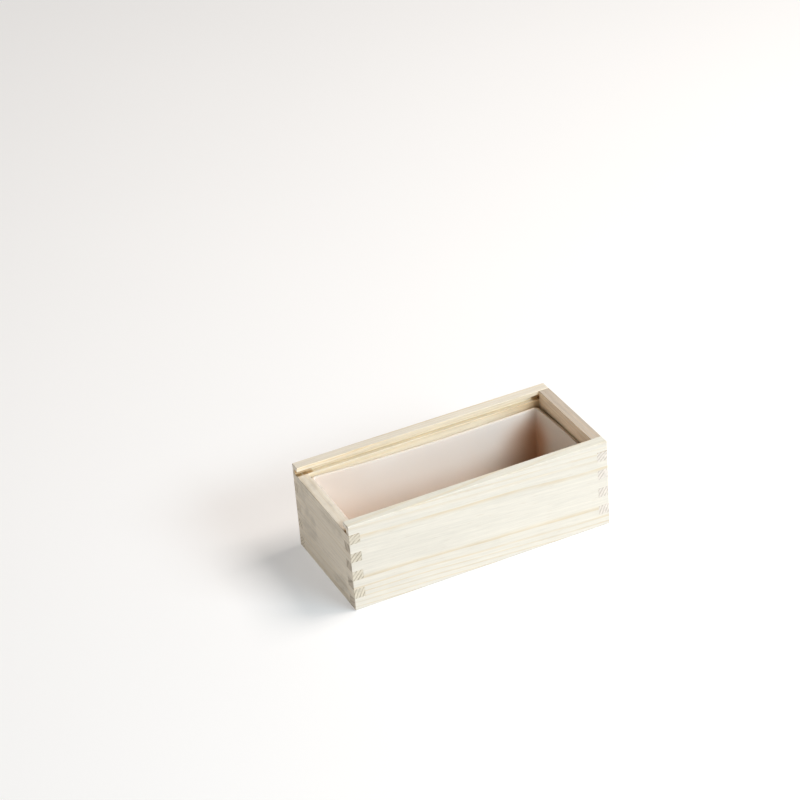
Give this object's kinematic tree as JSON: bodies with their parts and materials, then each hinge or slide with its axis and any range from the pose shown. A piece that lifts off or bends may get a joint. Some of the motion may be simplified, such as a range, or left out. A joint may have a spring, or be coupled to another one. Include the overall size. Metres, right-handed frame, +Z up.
{
  "type": "soap loaf mould",
  "caption": "Open finger-jointed pine box with a lid groove along both long sides and a translucent silicone liner that lifts out, for casting a loaf of soap.",
  "frame": {"origin": "middle of the underside of the box", "axes": "+X along the box from the low end, where a lid slides in, to the full-height end; +Y across the box from the front side to the back side; +Z up"},
  "size_m": [0.22, 0.102, 0.076],
  "materials": {
    "pine": "unfinished planed pine, matt",
    "pine_panel": "unfinished planed pine, matt",
    "silicone": "milky translucent silicone, satin"
  },
  "bodies": {
    "box": {"front_side": "pine", "back_side": "pine", "left_end": "pine", "right_end": "pine", "bottom_panel": "pine_panel"},
    "liner": {"silicone_liner": "silicone"}
  },
  "joints": [
    {"name": "liner_lift", "type": "slide", "parent": "box", "child": "liner", "axis": [0, 0, 1], "range_m": [0, 0.08]}
  ]
}
